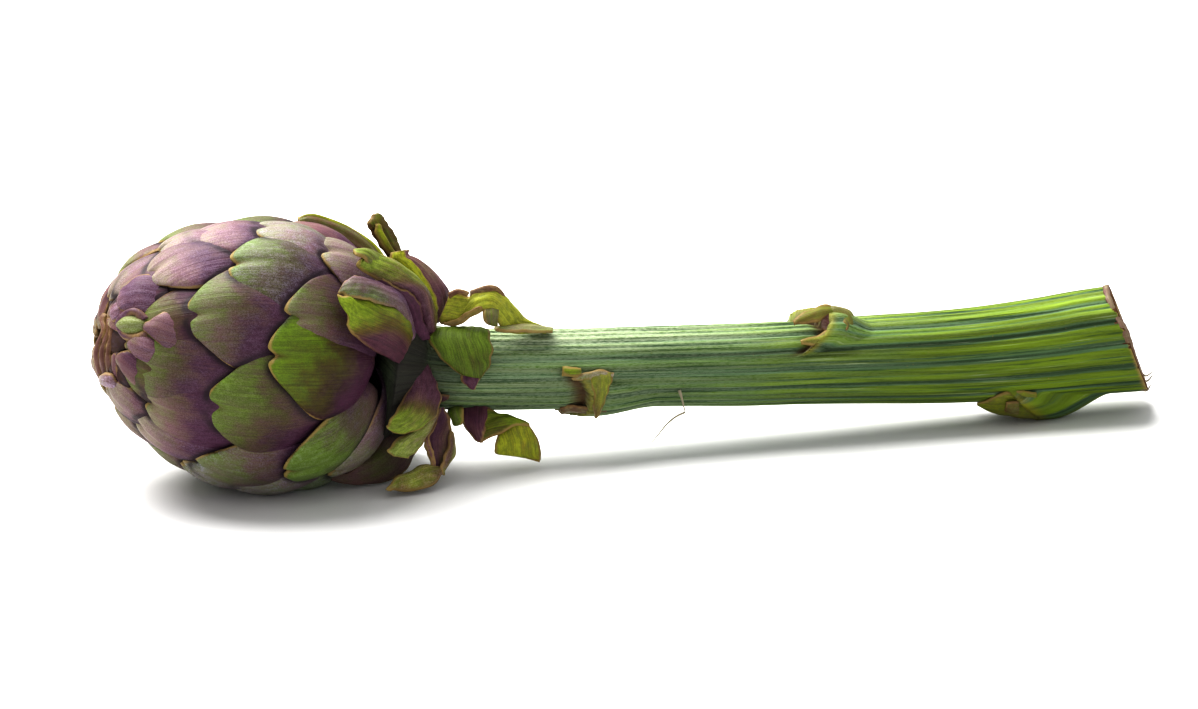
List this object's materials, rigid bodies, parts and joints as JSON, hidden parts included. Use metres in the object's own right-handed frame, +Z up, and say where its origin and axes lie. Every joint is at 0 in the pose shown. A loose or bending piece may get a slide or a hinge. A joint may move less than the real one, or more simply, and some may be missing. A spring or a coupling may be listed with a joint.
{
  "type": "artichoke",
  "caption": "Fresh globe artichoke lying on its side: an egg-shaped head of overlapping notched bracts, spread bracts round its base, and a long ribbed stalk with leaf scars.",
  "frame": {"origin": "middle of the small flat spot under the head, on the surface that the artichoke lies on", "axes": "+X along the stalk to its cut end, -X to the head's apex, +Z up, -Y to the front"},
  "size_m": [0.3295, 0.0816, 0.0774],
  "materials": {
    "head_bracts": "satin",
    "spread_bracts": "satin",
    "stalk": "satin",
    "stalk_leaves": "satin"
  },
  "bodies": {
    "root": {"head": "head_bracts", "stalk": "stalk", "bract_open_back": "spread_bracts", "bract_rolled_tip": "spread_bracts", "bract_upright": "spread_bracts", "bract_arching": "spread_bracts", "bract_folded": "spread_bracts", "bract_hanging_front": "spread_bracts", "bract_hanging_low": "spread_bracts", "bract_spread_back": "spread_bracts", "bract_hanging_back": "spread_bracts", "stalk_leaf_twisted": "stalk_leaves", "stalk_leaf_flap": "stalk_leaves", "stalk_leaf_spiral": "stalk_leaves"}
  },
  "joints": []
}
